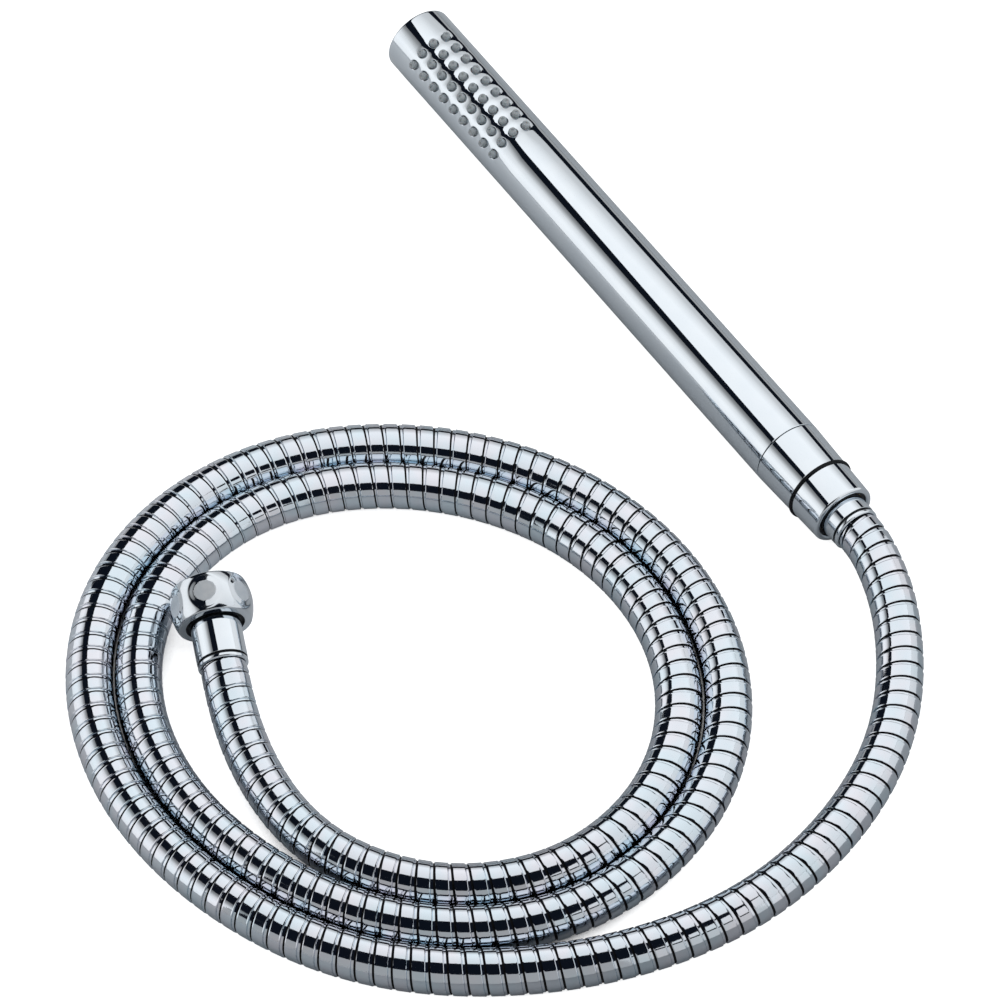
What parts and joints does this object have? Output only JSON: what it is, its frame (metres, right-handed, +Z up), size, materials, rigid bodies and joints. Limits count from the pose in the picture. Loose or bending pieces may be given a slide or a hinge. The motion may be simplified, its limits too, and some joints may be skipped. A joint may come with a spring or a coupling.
{
  "type": "handheld shower head with hose",
  "caption": "Slim chrome stick hand shower with rows of soft nozzles, lying on the floor beside its coiled metal hose, with a conical nut and a wall nut.",
  "frame": {"origin": "on the floor under the middle of the handset as it lies, without the hose and its fittings", "axes": "+Y along the handset towards its closed head, +X to the right of the handset seen from above with the head away, +Z up"},
  "size_m": [0.263, 0.3498, 0.0297],
  "materials": {
    "chrome": "polished chrome plate on brass",
    "hose_chrome": "bright rolled metal strip",
    "silicone": "soft matt grey silicone",
    "black_rubber": "smooth black rubber",
    "white_plastic": "moulded, satin",
    "blue_plastic": "moulded, smooth",
    "brass": "turned",
    "spring_steel": "bare stainless steel",
    "liner_rubber": "matt rubber hose"
  },
  "bodies": {
    "hose": {"hose_casing": "hose_chrome", "hose_liner": "liner_rubber", "handset_ferrule": "chrome", "handset_hose_tail": "brass", "handset_washer": "black_rubber", "wall_ferrule": "chrome", "wall_hose_tail": "brass", "wall_washer": "black_rubber"},
    "handset": {"wand_tube": "chrome", "head_cap": "chrome", "head_cap_o_ring": "black_rubber", "spray_core": "white_plastic", "nozzle_mat": "silicone", "waterway_pipe": "white_plastic", "upper_pipe_o_ring": "black_rubber", "lower_pipe_o_ring": "black_rubber", "inlet_housing": "chrome", "inlet_o_ring": "black_rubber", "check_valve_housing": "blue_plastic", "check_valve_spring": "spring_steel", "flow_limiter": "blue_plastic", "filter_screen": "spring_steel", "gap_ring": "black_rubber"},
    "check_valve_poppet": {"check_valve_poppet": "white_plastic"},
    "handset_nut": {"handset_nut": "chrome"},
    "wall_nut": {"wall_nut": "chrome"}
  },
  "joints": [
    {"name": "handset_swivel", "type": "hinge", "parent": "hose", "child": "handset", "pos_m": [0, -0.1215, 0.012], "axis": [0, 1, 0], "continuous": true},
    {"name": "handset_nut_turn", "type": "hinge", "parent": "handset", "child": "handset_nut", "pos_m": [0, -0.1188, 0.012], "axis": [0, 1, 0], "continuous": true},
    {"name": "wall_nut_turn", "type": "hinge", "parent": "hose", "child": "wall_nut", "pos_m": [-0.1941, -0.0651, 0.0131], "axis": [0.3809, 0.9087, 0.1709], "continuous": true},
    {"name": "check_valve_lift", "type": "slide", "parent": "handset", "child": "check_valve_poppet", "axis": [0, 1, 0], "range_m": [0, 0.002], "stiffness_N_per_m": 100, "springref_m": -0.003, "deforming": ["check_valve_spring"]}
  ]
}
